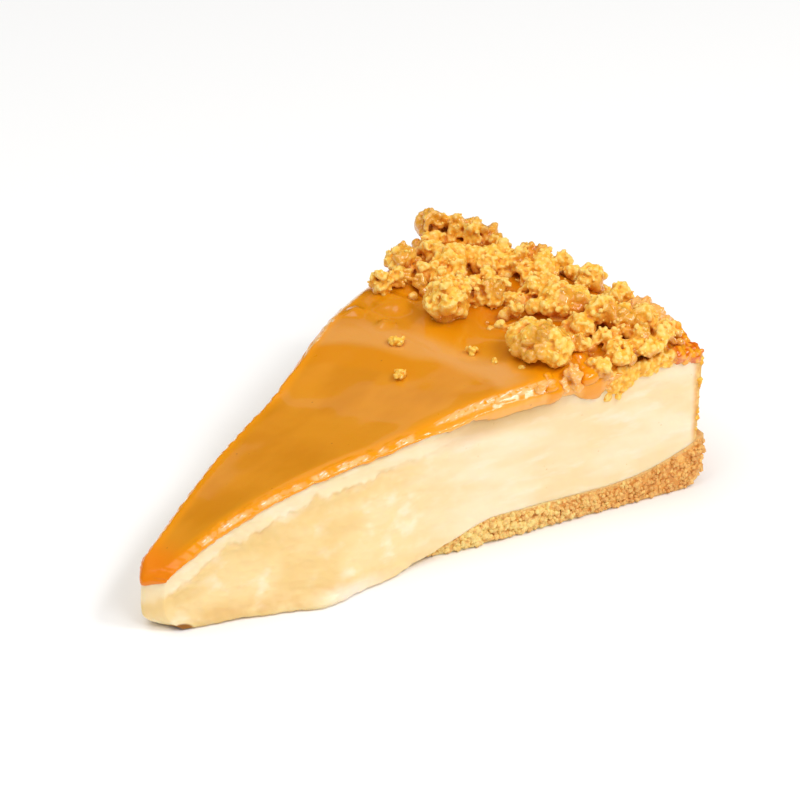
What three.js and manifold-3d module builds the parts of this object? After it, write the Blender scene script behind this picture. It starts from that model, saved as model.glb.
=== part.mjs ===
// A slice of baked caramel cheesecake: a pressed biscuit base, the soft baked filling that has slumped
// at its tip, a caramel glaze that laps over both cuts, and a heap of streusel at the rim.
// Millimetres, +Z up. X runs along the slice from its tip to its rim, Y across it. The origin is on the
// table under the middle of the slice. One cut face, at -Y, is called the shown one and the other hidden.
import * as THREE from "three";
import { mergeVertices } from "three/addons/utils/BufferGeometryUtils.js";
import Module from "manifold-3d";

const wasm = await Module();
wasm.setup();

// Driving dimensions
const cakeRadius = 130; // middle of the whole cake to the baked rim
const halfSlice = THREE.MathUtils.degToRad(16.25);
const cakeMiddleX = -69.8; // where the two cuts would meet
const tipRadius = 9; // the tip is blunt, and starts this far from the cake's middle
const tipRound = 3; // its corners start this much further
const clearance = 0.3; // gap between touching layers
const cuts = { // faces along, across and up
  base: [46, 4, 3],
  filling: [34, 10, 6],
  glaze: [36, 10, 3],
  bed: [8, 13, 1],
  underHeap: [8, 4, 1],
};

// Height of the glazed top above the table
const rimHeight = 33.6;
const tipSlump = { height: 19.2, length: 24 }; // the soft tip has sunk
const tipRoll = { height: 2.8, length: 6 }; // and its top rolls over
const wave = { height: 5, from: 56, to: 86 }; // the glaze rises in a wave towards the streusel
// How much higher the shown cut's edge is, from where the tip has rolled over, and past the wave
const lean = { tip: 1.4, tipUntil: 25, rim: -0.8, from: 58, to: 84 };

// Biscuit base
const baseThickness = 5.6;
const baseRise = { height: 6, from: 108 }; // the base turns up at the rim
const baseProud = 1.2;
const baseFoot = 4.5; // radius of its worn bottom edge at the rim
const baseGrain = 0.5; // relief of its crumbs

// Filling: near the tip its cut faces have spread over the base, down to the table
const cutOffset = { shown: 0.2, hidden: -0.5 };
const spread = { middle: 43, length: 24, from: 56, until: 74, shown: 5.2, hidden: 3.4, curve: 0.9 };
const footLobe = { middle: 43, width: 7, height: 3.5, shown: 1.6, hidden: 0.6 };
const lap = { middle: 71, width: 10, low: 2, high: 12, shown: 1, hidden: 1.4 }; // its edge laps over the base
const uprightDepth = 6; // the cut stays upright this far below the top
const smear = { from: 59, to: 84, above: 0.25 }; // where the spread filling ends and the base shows
const baseInset = { depth: 1.9, from: 58, to: 76 }; // under the spread filling the base is narrower
const noseTuck = { depth: 2.6, height: 0.33 }; // the lowest third of the tip's wall draws in
const noseBulge = 0.6;
const rimLean = 0.8; // the rim's foot is this far in from its top
const bareRim = { rise: 1.2, from: 116, to: 126 }; // past the glaze the filling comes up to its level
const rimShoulder = { drop: 1.2, from: 123 };
const cornerDrop = { height: 0.7, from: 118, across: 0.7 };

// Caramel glaze
const glazeThickness = 1.8;
const glazeLip = { shown: 1.1, hidden: 0.9, nose: 0.6 }; // how far it stands proud of the filling
const glazeEnd = { middle: 127, shown: 111, hidden: 118 };
const glazeEdge = { from: 0.7, drop: 0.4 }; // from this far across its surface rounds over
const edgeRun = 1; // how far it hangs down a cut where it has no drip
const sunk = 1.5; // how far the glaze and the streusel reach down before their beds are cut away
const dripsShown = [ // distance from the cake's middle, extra depth, half width
  [24, 0.5, 8],
  [73, 1.1, 3],
  [84, 2.7, 6],
  [94, 2.6, 6],
  [105, 4.4, 4.5],
];
const dripsHidden = [
  [31, 0.9, 4],
  [54, 2.2, 5],
  [79, 3.2, 6],
  [98, 4.4, 5],
  [112, 2.6, 4],
];
const strayCrumbs = [ // distance from the cake's middle, place across, size
  [81, 0.24, 3.4],
  [74, -0.13, 2.9],
  [89, -0.31, 2.4],
  [84, 0.82, 3.4],
  [85, 0.48, 3.6],
];

// Streusel: a low bed of crumbs whose front edge waves, loose crumbs strewn over it, and the clumps that
// show, each by its distance from the cake's middle, its place across the slice from -1 at the shown cut
// to 1, its width, its height, and how far it is stacked above the bed
const bed = { from: 97, to: 126.5, across: 0.97, thickness: 1.6, unevenness: 2.2 };
const bedEdge = { wave: 2, waves: 9, corner: 7, cornerFrom: 0.75 };
const knobbly = { from: 7, perWidth: 0.5, size: 0.4, turn: 2.4 };
const strewn = { count: 18, least: 2.6, most: 4, across: 0.9 };
const crumbUnevenness = { least: 0.78, most: 1.18 };
const overhang = 1.65; // streusel hangs over a cut this far out
const clumps = [
  [120, 0.91, 5.2, 5, 3],
  [120.5, 0.96, 6.2, 6.4, 0.6],
  [117, 0.86, 6, 4.6, 0],
  [123, 0.8, 5.6, 6.4, 0.6],
  [123, 0.66, 5, 6.4, 0.4],
  [123.5, 0.66, 3.4, 3.4, 3],
  [106, 0.88, 7.4, 6.4, 0],
  [95, 0.8, 5, 6.4, 0],
  [99, 0.74, 4.6, 5.2, 0],
  [104, 0.64, 4, 5.6, 0],
  [110, 0.57, 7.6, 7.2, 0],
  [96, 0.2, 11.6, 10, 0],
  [116, 0.41, 8.2, 6.2, 0],
  [103, 0.07, 5.8, 8.4, 0],
  [109, 0.2, 5.4, 4.6, 0],
  [119, 0.28, 6, 7, 0],
  [123, 0.48, 5.6, 4.2, 0],
  [125, 0.3, 5.2, 4.8, 0],
  [122, 0.13, 8, 5.6, 0],
  [125.5, 0.06, 3.4, 3.8, 1.8],
  [111, -0.1, 5, 5, 2],
  [108, -0.07, 5.4, 4.2, 0],
  [117, -0.02, 5.6, 5, 0],
  [125, -0.03, 5, 3.6, 0],
  [124, -0.2, 7, 7.2, 0],
  [113, -0.31, 11.6, 8.2, 0],
  [110, -0.6, 6.4, 5.8, 0],
  [125, -0.42, 6.2, 5.6, 0],
  [115, -0.6, 6.6, 6.6, 2],
  [98.5, -0.7, 13, 9.6, 0],
  [118, -0.7, 6.8, 7, 0],
  [122, -0.74, 6.2, 6.6, 0],
  [124, -0.88, 5, 4.4, 0],
  [112, -0.95, 7.6, 4.4, -0.6],
  [118, -0.96, 8, 4.2, -0.4],
  [106.5, -0.99, 5.4, 5.6, -2.4],
];

// A mulberry32 generator, so that every run gives the same crumbs
function seeded(seed) {
  let state = seed;
  return () => {
    state = (state + 0x6d2b79f5) | 0;
    let t = Math.imul(state ^ (state >>> 15), 1 | state);
    t = (t + Math.imul(t ^ (t >>> 7), 61 | t)) ^ t;
    return ((t ^ (t >>> 14)) >>> 0) / 4294967296;
  };
}

const { lerp, clamp, smoothstep } = THREE.MathUtils;
const bell = (x, middle, width) => Math.exp(-(((x - middle) / width) ** 2));
const forSide = (across, values) => (across <= 0 ? values.shown : values.hidden);

// The point that far from the cake's middle and that far across, moved out of the nearer cut face
function onSlice(radius, across, z, outward = 0) {
  const angle = clamp(across, -1, 1) * halfSlice;
  return new THREE.Vector3(
    cakeMiddleX + radius * Math.cos(angle) - outward * Math.sin(halfSlice),
    radius * Math.sin(angle) + Math.sign(across) * outward * Math.cos(halfSlice),
    z,
  );
}

function glazeTop(radius, across) {
  const fromTip = tipRadius - radius;
  const slump = tipSlump.height * Math.exp(fromTip / tipSlump.length);
  const roll = tipRoll.height * Math.exp(fromTip / tipRoll.length);
  const beforeWave = wave.height * (1 - smoothstep(radius, wave.from, wave.to));
  const atTip = lean.tip * smoothstep(radius, tipRadius, lean.tipUntil);
  const tilt = atTip + (lean.rim - lean.tip) * smoothstep(radius, lean.from, lean.to);
  return rimHeight - slump + roll - beforeWave - across * tilt;
}

// Under the glaze, and up to its level again at the bare rim
function fillingTop(radius, across) {
  const bare = bareRim.rise * smoothstep(radius, bareRim.from, bareRim.to);
  const shoulder = rimShoulder.drop * smoothstep(radius, rimShoulder.from, cakeRadius);
  const outer = smoothstep(radius, cornerDrop.from, cakeRadius);
  const corner = cornerDrop.height * outer * smoothstep(Math.abs(across), cornerDrop.across, 1);
  return glazeTop(radius, across) - glazeThickness + bare - shoulder - corner;
}

function baseTop(radius) {
  const rise = Math.max(0, (radius - baseRise.from) / (cakeRadius + baseProud - baseRise.from));
  return baseThickness + baseRise.height * rise ** 2;
}

// How far the cut face of the filling stands out at a height, because it has slumped
function cutFace(radius, across, z) {
  const upright = fillingTop(radius, Math.sign(across)) - uprightDepth;
  const down = clamp(1 - z / upright, 0, 1) ** spread.curve;
  const ending = 1 - smoothstep(radius, spread.from, spread.until);
  const slumped = bell(radius, spread.middle, spread.length) * ending;
  const lobe = bell(radius, footLobe.middle, footLobe.width) * clamp(1 - z / footLobe.height, 0, 1);
  const lapping = bell(radius, lap.middle, lap.width) * (1 - smoothstep(z, lap.low, lap.high));
  return (
    forSide(across, cutOffset) +
    forSide(across, spread) * slumped * down +
    forSide(across, footLobe) * lobe +
    forSide(across, lap) * lapping
  );
}

function dripDepth(radius, across) {
  const drips = across <= 0 ? dripsShown : dripsHidden;
  return drips.reduce((depth, [middle, extra, half]) => depth + extra * bell(radius, middle, half), edgeRun);
}

// A closed block: shape(along, across, up) gives a point for along 0..1, across -1..1 and up 0..1
function block([alongCuts, acrossCuts, upCuts], shape) {
  const box = new THREE.BoxGeometry(1, 1, 1, alongCuts, acrossCuts, upCuts);
  box.deleteAttribute("normal");
  box.deleteAttribute("uv");
  const geometry = mergeVertices(box);
  const places = geometry.attributes.position;
  for (let i = 0; i < places.count; i++) {
    const p = shape(places.getX(i) + 0.5, 2 * places.getY(i), places.getZ(i) + 0.5);
    places.setXYZ(i, p.x, p.y, p.z);
  }
  return geometry;
}

function toSolid(geometry) {
  return new wasm.Manifold(
    new wasm.Mesh({
      numProp: 3,
      vertProperties: new Float32Array(geometry.attributes.position.array),
      triVerts: new Uint32Array(geometry.index.array),
    }),
  );
}

function toGeometry(solid) {
  const mesh = solid.getMesh();
  const geometry = new THREE.BufferGeometry();
  geometry.setAttribute("position", new THREE.BufferAttribute(mesh.vertProperties, mesh.numProp));
  geometry.setIndex(new THREE.BufferAttribute(mesh.triVerts, 1));
  return geometry;
}

const largestBody = (solid) => solid.decompose().reduce((a, b) => (a.volume() > b.volume() ? a : b));

// Distance from the cake's middle: closer steps at the tip, whose corners are rounded in plan
function alongSlice(share, across, start, end) {
  return lerp(start + tipRound * across ** 2, end, share ** 1.3);
}

// Pressed crumbs, worn round under the rim, and set in where the filling has spread over them
function baseBlock(grow) {
  const crumbs = seeded(11);
  return block(cuts.base, (share, across, up) => {
    const grain = grow ? 0 : (crumbs() - 0.5) * baseGrain;
    const worn = baseFoot * (1 - Math.sqrt(1 - (1 - Math.min(up * 2, 1)) ** 2));
    const end = cakeRadius + baseProud - worn + grain + grow;
    const radius = alongSlice(share, across, tipRadius + 2 * baseInset.depth - grow, end);
    const setIn = baseInset.depth * (1 - smoothstep(radius, baseInset.from, baseInset.to));
    const outward = across ** 4 * (grain - setIn + grow);
    return onSlice(radius, across, lerp(-grow, baseTop(radius) + grow, up), outward);
  });
}

function fillingBlock(grow) {
  return block(cuts.filling, (share, across, up) => {
    const tuck = noseTuck.depth * (1 - Math.min(up / noseTuck.height, 1)) ** 2;
    const start = tipRadius + tuck - noseBulge * Math.sin(Math.PI * up) - grow;
    const radius = alongSlice(share, across, start, cakeRadius - rimLean * (1 - up) + grow);
    const low = lerp(smear.above, baseTop(radius) - sunk, smoothstep(radius, smear.from, smear.to)) - grow;
    const z = lerp(low, fillingTop(radius, across) + grow, up);
    return onSlice(radius, across, z, across ** 4 * (cutFace(radius, across, z) + grow));
  });
}

// A sheet over the filling, with flaps that hang down both cuts as uneven drips
function glazeBlock() {
  return block(cuts.glaze, (share, row, up) => {
    const across = Math.sign(row) * (1 - (1 - Math.abs(row)) ** 1.5);
    const edge = smoothstep(Math.abs(across), glazeEdge.from, 1);
    const end = lerp(glazeEnd.middle, forSide(across, glazeEnd), edge ** 2);
    const radius = alongSlice(share, across, tipRadius - glazeLip.nose, end);
    const atEdge = Math.abs(row) === 1 || share === 0;
    const top = glazeTop(radius, across) - glazeEdge.drop * edge ** 2;
    const hang = atEdge ? dripDepth(radius, across) : glazeThickness + sunk;
    const lip = forSide(across, glazeLip) * Math.sin(Math.PI * (0.3 + 0.45 * (1 - up)));
    const outward = across ** 6 * (cutFace(radius, across, top) + lip);
    return onSlice(radius, across, lerp(top - hang, top, up), outward);
  });
}

// A crumb: a ball of few faces with uneven corners
function crumb(middle, width, height, detail, random) {
  const ball = new THREE.IcosahedronGeometry(0.5, detail);
  ball.deleteAttribute("normal");
  ball.deleteAttribute("uv");
  const geometry = mergeVertices(ball);
  const places = geometry.attributes.position;
  for (let i = 0; i < places.count; i++) {
    const uneven = lerp(crumbUnevenness.least, crumbUnevenness.most, random());
    places.setXYZ(i, places.getX(i) * uneven, places.getY(i) * uneven, places.getZ(i) * uneven);
  }
  geometry.rotateX(random() * Math.PI).rotateZ(random() * Math.PI);
  geometry.scale(width, width, height);
  geometry.translate(middle.x, middle.y, middle.z);
  return toSolid(geometry);
}

// A clump is one uneven lump, and a big one has knobs that stand out all round it
function clump(middle, width, height, random) {
  const solids = [crumb(middle, width * 0.95, height * 0.95, 1, random)];
  const knobs = width > knobbly.from ? Math.round(width * knobbly.perWidth) : 0;
  const knobSize = width * knobbly.size;
  for (let k = 0; k < knobs; k++) {
    const turn = (k + 0.5 * random()) * knobbly.turn;
    const climb = lerp(-0.1, 0.95, (k + random()) / knobs);
    const size = knobSize * (0.85 + 0.35 * random());
    const reach = (width - size) / 2;
    const flat = reach * Math.sqrt(1 - climb ** 2);
    const up = climb * reach * (height / width);
    const knob = new THREE.Vector3(flat * Math.cos(turn), flat * Math.sin(turn), up).add(middle);
    solids.push(crumb(knob, size, size * 0.95, 0, random));
  }
  return solids;
}

function caramelGlaze(fillingGrown) {
  const random = seeded(5);
  const crumbs = strayCrumbs.map(([radius, across, size]) =>
    crumb(onSlice(radius, across, glazeTop(radius, across) + 0.15 * size), size, size * 0.8, 0, random),
  );
  return largestBody(wasm.Manifold.union([toSolid(glazeBlock()), ...crumbs]).subtract(fillingGrown));
}

function bedOfCrumbs(random) {
  return toSolid(
    block(cuts.bed, (share, across, up) => {
      const spot = across * bed.across;
      const waved = bed.from + bedEdge.wave * Math.sin(bedEdge.waves * spot);
      const front = waved + bedEdge.corner * smoothstep(Math.abs(spot), bedEdge.cornerFrom, 1);
      const radius = lerp(front + random(), bed.to - random(), share);
      const inside = 1 - Math.max(Math.abs(share * 2 - 1), Math.abs(across)) ** 6;
      const thick = bed.thickness * inside + bed.unevenness * random();
      return onSlice(radius, spot, glazeTop(radius, spot) + (up ? thick : -sunk));
    }),
  );
}

// All that the streusel lies on, and the cut faces that it hangs over, a little grown
function restUnderHeap() {
  return toSolid(
    block(cuts.underHeap, (share, across, up) => {
      const radius = lerp(bed.from - 14, cakeRadius + 8, share);
      return onSlice(radius, across, up * (glazeTop(radius, across) + clearance), across ** 4 * overhang);
    }),
  );
}

function streuselHeap() {
  const random = seeded(71);
  const solids = [bedOfCrumbs(random)];
  for (const [radius, across, width, height, stacked] of clumps) {
    const z = glazeTop(radius, across) + clearance + 0.34 * height + stacked;
    solids.push(...clump(onSlice(radius, across, z), width, height, random));
  }
  for (let k = 0; k < strewn.count; k++) {
    const radius = lerp(bed.from + 1, bed.to, random());
    const across = lerp(-strewn.across, strewn.across, (k + random()) / strewn.count);
    const size = lerp(strewn.least, strewn.most, random());
    const z = glazeTop(radius, across) + bed.thickness + 0.2 * size;
    solids.push(crumb(onSlice(radius, across, z), size, size, 0, random));
  }
  return largestBody(wasm.Manifold.union(solids).subtract(restUnderHeap()));
}

function food(name, geometry, color, roughness) {
  const mesh = new THREE.Mesh(geometry, new THREE.MeshStandardMaterial({ color, roughness, metalness: 0 }));
  mesh.name = name;
  return mesh;
}

const filling = largestBody(toSolid(fillingBlock(0)).subtract(toSolid(baseBlock(clearance))));
const fillingGrown = toSolid(fillingBlock(clearance));

const slice = new THREE.Group();
slice.add(
  food("biscuit_base", baseBlock(0), 0xd9a860, 0.9),
  food("baked_filling", toGeometry(filling), 0xfbe6bc, 0.45),
  food("caramel_glaze", toGeometry(caramelGlaze(fillingGrown)), 0xdf9130, 0.2),
  food("streusel_heap", toGeometry(streuselHeap()), 0xf0bd68, 0.75),
);

export default slice;
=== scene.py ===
"""The looks of a slice of baked caramel cheesecake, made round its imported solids.

Lengths are in millimetres, as on the solids, and a mesh is brought to metres once it is shaped. X runs
along the slice from its tip to its rim. The cut face at -Y is called the shown one, and the other hidden.
"""
import math
import random

import bmesh
import bpy
from mathutils import Euler, Matrix, Vector, noise
from mathutils.bvhtree import BVHTree


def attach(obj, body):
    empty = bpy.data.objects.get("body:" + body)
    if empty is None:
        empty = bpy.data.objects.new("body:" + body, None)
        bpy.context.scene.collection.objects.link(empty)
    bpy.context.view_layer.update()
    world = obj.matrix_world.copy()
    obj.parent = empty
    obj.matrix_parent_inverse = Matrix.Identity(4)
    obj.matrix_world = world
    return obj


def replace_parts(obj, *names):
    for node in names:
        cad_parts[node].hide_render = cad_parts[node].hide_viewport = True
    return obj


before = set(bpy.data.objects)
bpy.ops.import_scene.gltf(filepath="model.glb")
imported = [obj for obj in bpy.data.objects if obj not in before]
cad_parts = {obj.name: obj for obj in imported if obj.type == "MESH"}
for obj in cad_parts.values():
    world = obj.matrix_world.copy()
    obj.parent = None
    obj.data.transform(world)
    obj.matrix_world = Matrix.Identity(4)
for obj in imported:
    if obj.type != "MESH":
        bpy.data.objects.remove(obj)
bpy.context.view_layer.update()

MM = 0.001
SHOWN = -1
HIDDEN = 1

# The slice, with the same driving dimensions as the solids
CAKE_RADIUS = 130
HALF_SLICE = math.radians(16.25)
CAKE_MIDDLE_X = -69.8
TIP_RADIUS = 9
TIP_ROUND = 3
RIM_HEIGHT = 33.6
TIP_SLUMP = {"height": 19.2, "length": 24}
TIP_ROLL = {"height": 2.8, "length": 6}
WAVE = {"height": 5, "along": (56, 86)}
LEAN = {"tip": 1.4, "tip_until": 25, "rim": -0.8, "along": (58, 84)}

BASE_THICKNESS = 5.6
BASE_RISE = {"height": 6, "from": 108}
BASE_PROUD = 1.2
BASE_FOOT = 4.5
BASE_INSET = {"depth": 1.9, "along": (58, 76)}

CUT_OFFSET = {SHOWN: 0.2, HIDDEN: -0.5}
SPREAD = {"middle": 43, "length": 24, "ends": (56, 74), "curve": 0.9, SHOWN: 5.2, HIDDEN: 3.4}
FOOT_LOBE = {"middle": 43, "width": 7, "height": 3.5, SHOWN: 1.6, HIDDEN: 0.6}
LAP = {"middle": 71, "width": 10, "up": (2, 12), SHOWN: 1, HIDDEN: 1.4}
UPRIGHT_DEPTH = 6
SMEAR = {"along": (59, 84), "above": 0.25}
NOSE_TUCK = {"depth": 2.6, "height": 0.33}
NOSE_BULGE = 0.6
NOTCH = {"middle": 14.4, "half": 2.6, "height": 1.5}
RIM_LEAN = 0.8
BARE_RIM = {"rise": 1.2, "along": (116, 126)}
RIM_SHOULDER = {"drop": 1.2, "from": 123}
CORNER_DROP = {"height": 0.7, "from": 118, "across": 0.7}

GLAZE_THICKNESS = 1.8
GLAZE_LIP = {SHOWN: 1.1, HIDDEN: 0.9, "nose": 0.6}
GLAZE_END = {"middle": 127, SHOWN: 111, HIDDEN: 118}
GLAZE_EDGE = {"from": 0.7, "drop": 0.4}
EDGE_RUN = 1
FLAP_DEPTH = 0.8
NOSE_DRIP = 1.1
NOSE_ROLL = {"drop": 1.1, "length": 2.2}
SHOULDER = {"plain": 0.8, "ribbon": 1.5, "along": (62, 72)}  # where the glaze's top starts to round over
BEADS = {"along": (14, 20, 60, 68), "size": 2.4, "height": 0.45}
CREST = {"middle": 82.5, "turn": -6.1, "before": 2.2, "after": 6}  # it crosses the slice at a slant
RIBBON = {"along": (68, 75, 95, 97), "half": 1.3}  # a painted highlight streak on the lip behind the wave
GLINTS = {  # painted highlight streaks on the lip, shorter: distance from the cake's middle, half length
    SHOWN: [(20.5, 1), (26, 2.6), (34, 1.9), (39.5, 0.8), (44.5, 1.6), (51.5, 3), (58, 0.6), (63, 1.8)],
    HIDDEN: [(19, 1.4), (28, 3), (36, 1.8), (46, 3.6), (55, 1.6), (63, 2.4)],
}
MENISCUS = {"height": 1.1, "reach": 0.62}
POOL = {"height": 1.1, "size": 5}
TONGUES = [(0.56, 0.09, 2.6), (-0.63, 0.1, 2.6)]  # where glaze runs on to the rim: across, half width, length
DRIPS = {  # distance from the cake's middle, extra depth, half width
    SHOWN: [(24, 0.5, 8), (73, 1.1, 3), (84, 2.7, 6), (94, 2.6, 6), (105, 4.4, 4.5)],
    HIDDEN: [(31, 0.9, 4), (54, 2.2, 5), (79, 3.2, 6), (98, 4.4, 5), (112, 2.6, 4)],
}
STRAY_CRUMBS = [(81, 0.24, 3.4), (74, -0.13, 2.9), (89, -0.31, 2.4)]  # from the middle, across, size
COATED_CRUMBS = [(86, 0.84, 3.6), (85, 0.5, 3), (92.5, 0.62, 6.5)]
COATED_BUMP = {"height": 0.24, "reach": 0.8}  # shares of the size of the crumb underneath
TINY_CRUMBS = [(90, -0.54, 1.3), (93, -0.75, 1.5)]

BED = {"from": 97, "to": 126.5, "across": 0.97}
BED_EDGE = {"wave": 2, "waves": 9, "corner": 7, "corner_from": 0.75}
CLEARANCE = 0.3
CLUMPS = [  # distance from the cake's middle, place across, width, height, how far it is stacked
    (120, 0.91, 5.2, 5, 3), (120.5, 0.96, 6.2, 6.4, 0.6), (117, 0.86, 6, 4.6, 0),
    (123, 0.8, 5.6, 6.4, 0.6), (123, 0.66, 5, 6.4, 0.4), (123.5, 0.66, 3.4, 3.4, 3),
    (106, 0.88, 7.4, 6.4, 0), (95, 0.8, 5, 6.4, 0), (99, 0.74, 4.6, 5.2, 0),
    (104, 0.64, 4, 5.6, 0), (110, 0.57, 7.6, 7.2, 0), (96, 0.2, 11.6, 10, 0),
    (116, 0.41, 8.2, 6.2, 0), (103, 0.07, 5.8, 8.4, 0), (109, 0.2, 5.4, 4.6, 0),
    (119, 0.28, 6, 7, 0), (123, 0.48, 5.6, 4.2, 0), (125, 0.3, 5.2, 4.8, 0),
    (122, 0.13, 8, 5.6, 0), (125.5, 0.06, 3.4, 3.8, 1.8), (111, -0.1, 5, 5, 2),
    (108, -0.07, 5.4, 4.2, 0), (117, -0.02, 5.6, 5, 0), (125, -0.03, 5, 3.6, 0),
    (124, -0.2, 7, 7.2, 0), (113, -0.31, 11.6, 8.2, 0), (110, -0.6, 6.4, 5.8, 0),
    (125, -0.42, 6.2, 5.6, 0), (115, -0.6, 6.6, 6.6, 2), (98.5, -0.7, 13, 9.6, 0),
    (118, -0.7, 6.8, 7, 0), (122, -0.74, 6.2, 6.6, 0), (124, -0.88, 5, 4.4, 0),
    (112, -0.95, 7.6, 4.4, -0.6), (118, -0.96, 8, 4.2, -0.4), (106.5, -0.99, 5.4, 5.6, -2.4),
]
KNOBS = {"density": 0.5, "size": (0.9, 3.0), "grit": (0.5, 1.2)}
HEAP_DRIPS = [  # distance from the middle, across, width, start above the glaze's top, end below it
    (104.3, -0.84, 4.4, 0.9, 2.6),
    (95.8, -0.92, 3, 0.3, 1.8),
]
COATED_LUMPS = [  # distance from the middle, how far out, how far below the glaze's top, size
    (100, 0.2, -0.2, 4.4),
    (100.6, 0.6, 2.2, 3.4),
    (98, 0.4, 1.8, 3),
    (107.4, 0.4, 1.8, 3.2),
    (107.2, 0.4, 4, 2.4),
    (92.8, 0.3, 0.6, 2.2),
]
RIM_LUMPS = [  # on the rim: distance from the middle, across, size, how far above the glaze
    (126.4, -0.56, 6.2, 1.2),
    (126.8, -0.66, 6, 0.9),
    (127, -0.74, 4.6, 0.6),
]
BROWNED = {"outer": (122.5, 124), "across": (-0.82, -0.74), "swell": 1.8, "middle": -0.76}

# Small crumbs: how many, and their smallest and largest size
BED_CRUMBS = {"low": (190, 1.0, 2.6), "strewn": (44, 2.4, 4.4)}
RIM_CRUMBS = {"crust": (1500, 0.8, 2.4), "edge": (520, 0.9, 2.2), "wall": (4400, 0.5, 1.5)}
BASE_CRUMBS = {"cut": (1900, 0.5, 1.2), "wall": (1700, 0.5, 1.3)}
LOOSE_GRAINS = (150, 0.35, 0.85)

# How each mesh is made: its rows, the grid it is fused on, and the seeds of what is random
FILLING_CUTS = (290, 26, 84)
GLAZE_CUTS = (370, 104, 8)
BASE_CUTS = (420, 60, 20)
GLAZE_CLIMB = 0.86  # past this row the glaze's underside is the inner face of its flap
GAP = 0.05
VOXELS = {"heap": 0.3, "strays": 0.15, "crust": 0.24, "coated": 0.22, "drips": 0.25}
SOFTENING = {"rims": 5, "nose": 14, "drips": 16, "cavity": 14}
SEEDS = {"noise": 5, "base": 7, "heap": 31, "coated": 12, "openness": 3}
GRAIN_BATCH = 150
OPEN_WAYS = {"count": 10, "start": 0.15, "reach": 5}
DRIP_STEPS = 16

# The floor and the lights: the way to each light, how far off it is and its size in metres, and its power
FLOOR = {"half": 4, "below": 0.0002}
WORLD_STRENGTH = 0.5
LIGHTS = {
    "key": ((0.27, -0.57, 0.78), 0.9, (0.26, 0.2), 2.3),
    "front": ((-0.14, -0.68, 0.72), 0.9, (0.3, 0.12), 1.5),
    "overhead": ((-0.3, 0.1, 1), 1.0, (0.9, 0.7), 3.7),
    "behind": ((0.4, 0.6, 0.62), 1.0, (0.7, 0.14), 0.12),
}

# The camera stands where the photograph was taken from
VIEW = {"azimuth": -44.4, "elevation": 28.42, "distance": 800, "target": (17.99, 11.47, 15), "lens": 178.1}


def lerp(low, high, share):
    return low + (high - low) * share


def clamp(value, low=0, high=1):
    return min(max(value, low), high)


def ease(x, low, high):
    """0 below low and 1 above high, smoothly."""
    share = clamp((x - low) / (high - low))
    return share * share * (3 - 2 * share)


def between(x, start, full, fade, end):
    """0 up to start, 1 from full to fade, and 0 again past end."""
    return ease(x, start, full) * (1 - ease(x, fade, end))


def bell(x, middle, width):
    return math.exp(-(((x - middle) / width) ** 2))


def waver(x, y, z):
    """Smooth noise at a place, from about -1 to 1."""
    return noise.noise(Vector((x, y, z)))


def spread(size, dice, low, high):
    """Three widths round that size."""
    return [size * dice.uniform(low, high) for _ in "xyz"]


def side_of(across):
    return SHOWN if across <= 0 else HIDDEN


def on_slice(radius, across, z, outward=0):
    """The point that far from the cake's middle and that far across, moved out of the nearer cut face."""
    angle = clamp(across, -1, 1) * HALF_SLICE
    out_y = math.copysign(outward, across) if outward > 0 else -math.copysign(outward, across)
    return Vector((
        CAKE_MIDDLE_X + radius * math.cos(angle) - outward * math.sin(HALF_SLICE),
        radius * math.sin(angle) + out_y * math.cos(HALF_SLICE),
        z,
    ))


def polar(point):
    """How far a point is from the cake's middle, and how far across the slice."""
    from_middle = point.x - CAKE_MIDDLE_X
    return math.hypot(from_middle, point.y), math.atan2(point.y, from_middle) / HALF_SLICE


def from_face(radius, across):
    """How far a place is from the nearer cut face, on an arc round the cake's middle."""
    return (1 - abs(across)) * HALF_SLICE * radius


def glaze_top(radius, across):
    from_tip = TIP_RADIUS - radius
    slump = TIP_SLUMP["height"] * math.exp(from_tip / TIP_SLUMP["length"])
    roll = TIP_ROLL["height"] * math.exp(from_tip / TIP_ROLL["length"])
    before_wave = WAVE["height"] * (1 - ease(radius, *WAVE["along"]))
    at_tip = LEAN["tip"] * ease(radius, TIP_RADIUS, LEAN["tip_until"])
    tilt = at_tip + (LEAN["rim"] - LEAN["tip"]) * ease(radius, *LEAN["along"])
    return RIM_HEIGHT - slump + roll - before_wave - across * tilt


def filling_top(radius, across):
    bare = BARE_RIM["rise"] * ease(radius, *BARE_RIM["along"])
    shoulder = RIM_SHOULDER["drop"] * ease(radius, RIM_SHOULDER["from"], CAKE_RADIUS)
    outer = ease(radius, CORNER_DROP["from"], CAKE_RADIUS)
    corner = CORNER_DROP["height"] * outer * ease(abs(across), CORNER_DROP["across"], 1)
    return glaze_top(radius, across) - GLAZE_THICKNESS + bare - shoulder - corner


def base_top(radius):
    rise = max(0, (radius - BASE_RISE["from"]) / (CAKE_RADIUS + BASE_PROUD - BASE_RISE["from"]))
    return BASE_THICKNESS + BASE_RISE["height"] * rise**2


def cut_face(radius, across, z):
    """How far the cut face of the filling stands out at a height, because it has slumped."""
    side = side_of(across)
    upright = filling_top(radius, side) - UPRIGHT_DEPTH
    down = clamp(1 - z / upright) ** SPREAD["curve"]
    ending = 1 - ease(radius, *SPREAD["ends"])
    slumped = bell(radius, SPREAD["middle"], SPREAD["length"]) * ending
    lobe = bell(radius, FOOT_LOBE["middle"], FOOT_LOBE["width"]) * clamp(1 - z / FOOT_LOBE["height"])
    lapping = bell(radius, LAP["middle"], LAP["width"]) * (1 - ease(z, *LAP["up"]))
    return CUT_OFFSET[side] + SPREAD[side] * slumped * down + FOOT_LOBE[side] * lobe + LAP[side] * lapping


def drip_depth(radius, across):
    drips = DRIPS[side_of(across)]
    nose = NOSE_DRIP * bell(radius, TIP_RADIUS, 3)
    return EDGE_RUN + nose + sum(extra * bell(radius, middle, half) for middle, extra, half in drips)


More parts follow.
